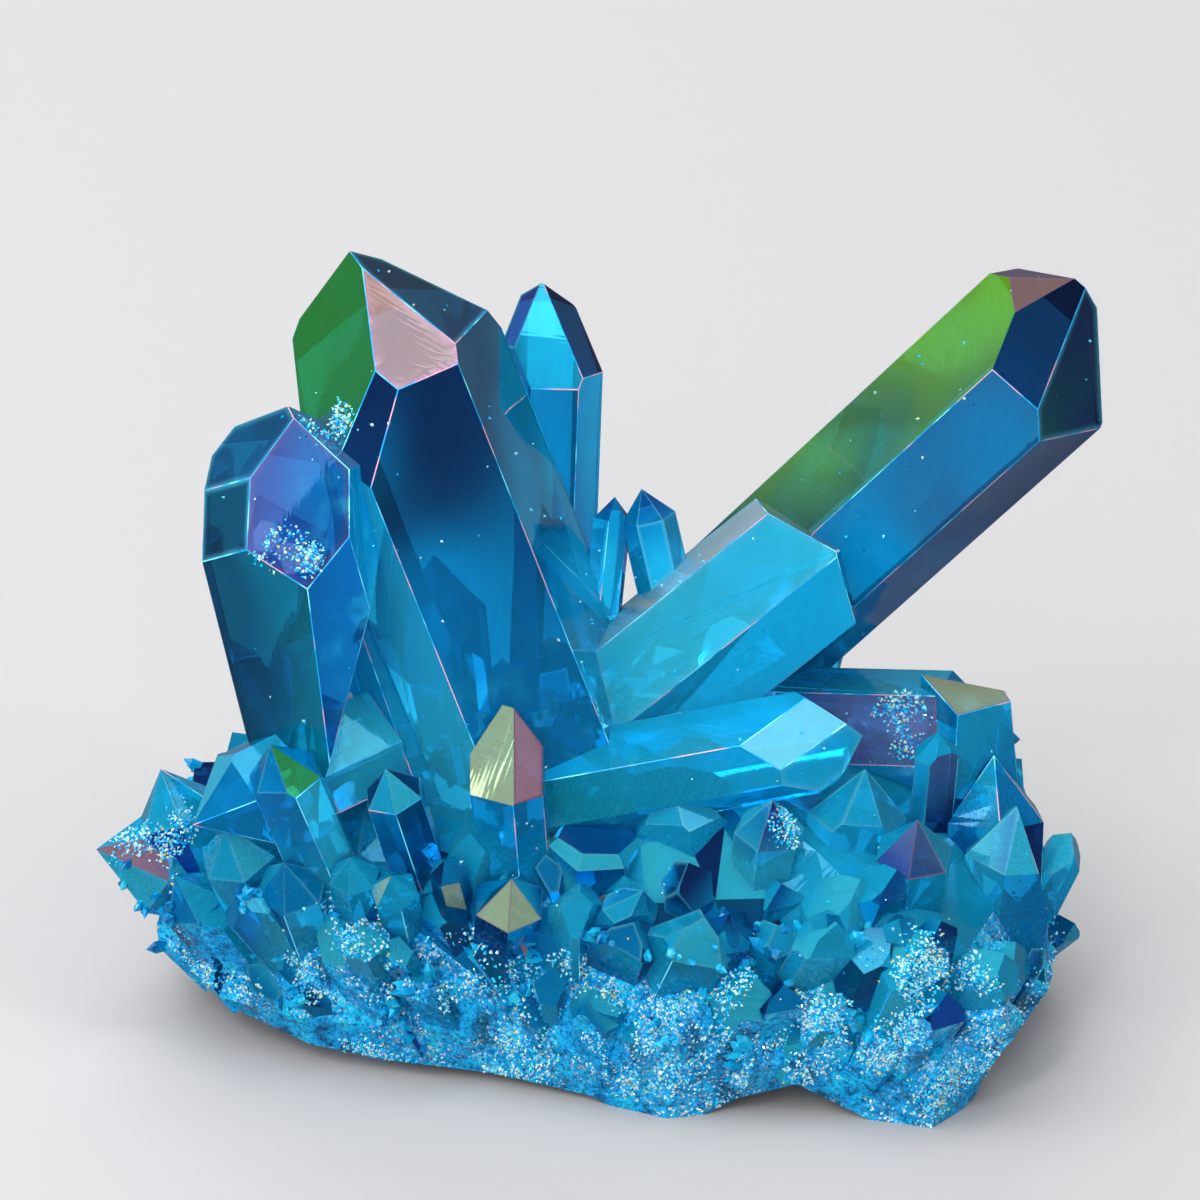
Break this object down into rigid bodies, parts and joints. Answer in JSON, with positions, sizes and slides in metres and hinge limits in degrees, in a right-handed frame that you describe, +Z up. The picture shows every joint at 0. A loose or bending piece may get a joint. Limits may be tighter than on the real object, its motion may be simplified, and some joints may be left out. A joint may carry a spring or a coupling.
{
  "type": "crystal cluster",
  "caption": "Cluster of pointed six-sided quartz crystals grown together on a rough foot, with a blue metallic film coat.",
  "frame": {"origin": "on the surface that the cluster rests on, under the middle of its box", "axes": "+Z up, +X to the right of the displayed side, +Y to the back, away from the displayed side"},
  "size_m": [0.0742, 0.0504, 0.0598],
  "materials": {
    "aura quartz": "see-through blue crystal with a thin glossy iridescent metal film, sugar-grained low down and dull stone underneath"
  },
  "bodies": {
    "root": {"quartz_cluster": "aura quartz"}
  },
  "joints": []
}
